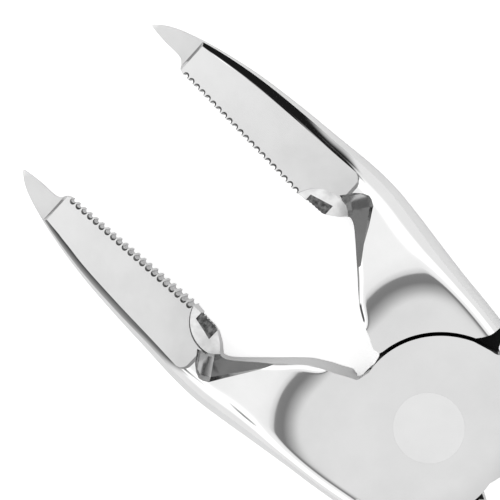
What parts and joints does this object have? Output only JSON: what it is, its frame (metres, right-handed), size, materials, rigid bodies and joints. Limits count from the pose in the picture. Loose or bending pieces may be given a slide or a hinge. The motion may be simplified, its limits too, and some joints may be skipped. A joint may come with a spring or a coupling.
{
  "type": "nutcracker",
  "caption": "Plier-type metal nutcracker: slim toothed jaws with thin picks at their tips, a lap joint on a flush rivet, and long curved handles.",
  "frame": {"origin": "on the pivot axis, at the back face of the hub, with the tool lying on its back", "axes": "+Z along the pivot axis, out of the front of the tool; +Y from the pivot to the tips of the jaws, midway between them; +X towards the right jaw"},
  "size_m": [0.0792, 0.1904, 0.011],
  "materials": {
    "lever_steel": "mirror polished casting with ground flats",
    "rivet_steel": "polished flush with the hub",
    "washer_nylon": "natural nylon"
  },
  "bodies": {
    "front": {"front_lever": "lever_steel", "pivot_rivet": "rivet_steel", "thrust_washer": "washer_nylon"},
    "rear": {"rear_lever": "lever_steel"}
  },
  "joints": [
    {"name": "jaw_pivot", "type": "hinge", "parent": "front", "child": "rear", "pos_m": [0, 0, 0.0055], "axis": [0, 0, 1], "range_deg": [-8, 22]}
  ]
}
